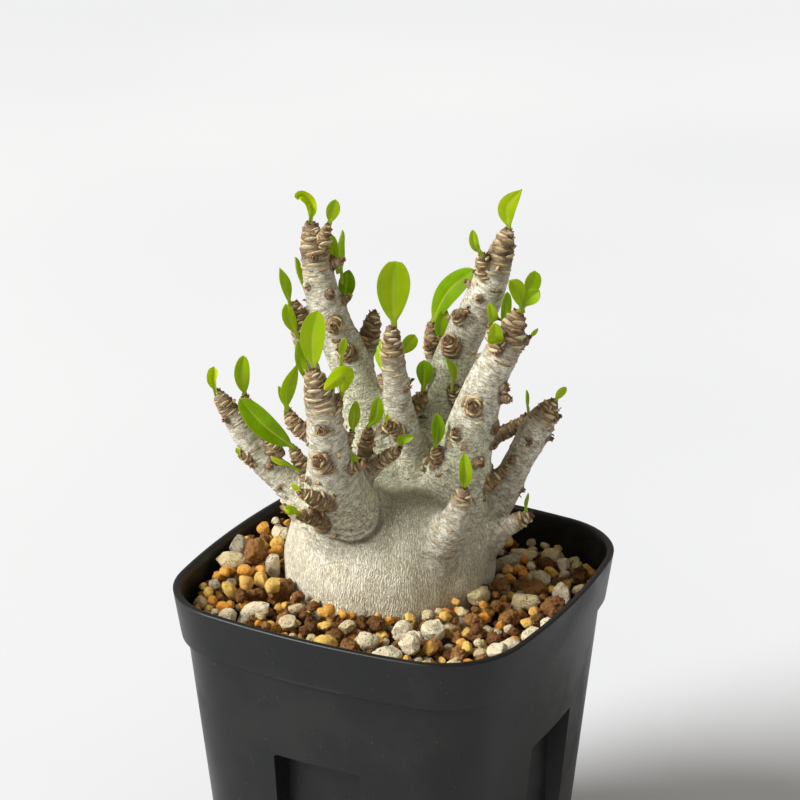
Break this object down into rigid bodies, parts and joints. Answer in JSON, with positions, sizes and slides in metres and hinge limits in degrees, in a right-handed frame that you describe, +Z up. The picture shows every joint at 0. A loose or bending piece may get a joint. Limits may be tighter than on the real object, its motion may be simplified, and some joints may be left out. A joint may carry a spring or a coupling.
{
  "type": "potted desert rose",
  "caption": "Small desert rose with a swollen caudex, bare knobbly branches and small glossy leaves, in a square nursery pot of gravel mix.",
  "frame": {"origin": "centre of the pot's footprint, on the surface that it stands on", "axes": "+Z up the plant; +X and +Y square to the pot's sides; the plant is seen best from between -Y and +X, 27 degrees round from -Y"},
  "size_m": [0.09, 0.09, 0.178],
  "materials": {
    "pot": "black polypropylene, satin, a little dusty",
    "potting_mix": "loose grains of baked clay, pumice and grit, dry",
    "bark": "pale grey-green wrinkled living bark with brown leaf scars",
    "leaf": "glossy lime-green living leaf with a paler midrib"
  },
  "bodies": {
    "root": {"pot": "pot", "potting_mix": "potting_mix", "caudex": "bark", "branch_tall_left": "bark", "branch_tall_right": "bark", "branch_right": "bark", "branch_middle": "bark", "branch_front_left": "bark", "twig_front_upper": "bark", "twig_front_lower": "bark", "branch_left_low": "bark", "twig_left_upright": "bark", "branch_right_low": "bark", "branch_far_right": "bark", "branch_front": "bark", "branch_thin_left": "bark", "branch_left_fork": "bark", "branch_back_thin": "bark", "twig_right_upper": "bark", "twig_right_lower": "bark", "twig_front_middle": "bark", "branch_back_left": "bark", "branch_back_low": "bark", "leaf_tall_left_tip": "leaf", "leaf_tall_left_twig": "leaf", "leaf_tall_left_behind": "leaf", "leaf_tall_left_side": "leaf", "leaf_thin_left_upper": "leaf", "leaf_thin_left_lower": "leaf", "leaf_front_left_tip": "leaf", "leaf_front_left_back": "leaf", "leaf_front_left_shoot": "leaf", "leaf_front_left_folded": "leaf", "leaf_front_left_right": "leaf", "leaf_front_low_yellow": "leaf", "leaf_left_twig": "leaf", "leaf_left_tip": "leaf", "leaf_left_long": "leaf", "leaf_left_small": "leaf", "leaf_middle_tip": "leaf", "leaf_middle_behind": "leaf", "leaf_middle_shoot": "leaf", "leaf_middle_curled": "leaf", "leaf_middle_dark": "leaf", "leaf_middle_low": "leaf", "leaf_back_large": "leaf", "leaf_back_small": "leaf", "leaf_back_left": "leaf", "leaf_back_low": "leaf", "leaf_tall_right_tip": "leaf", "leaf_tall_right_shoot": "leaf", "leaf_tall_right_front": "leaf", "leaf_right_tip_left": "leaf", "leaf_right_tip_back": "leaf", "leaf_right_tip_side": "leaf", "leaf_right_shoot": "leaf", "leaf_right_round": "leaf", "leaf_right_dark": "leaf", "leaf_right_low_tip": "leaf", "leaf_front_tip": "leaf"}
  },
  "joints": []
}
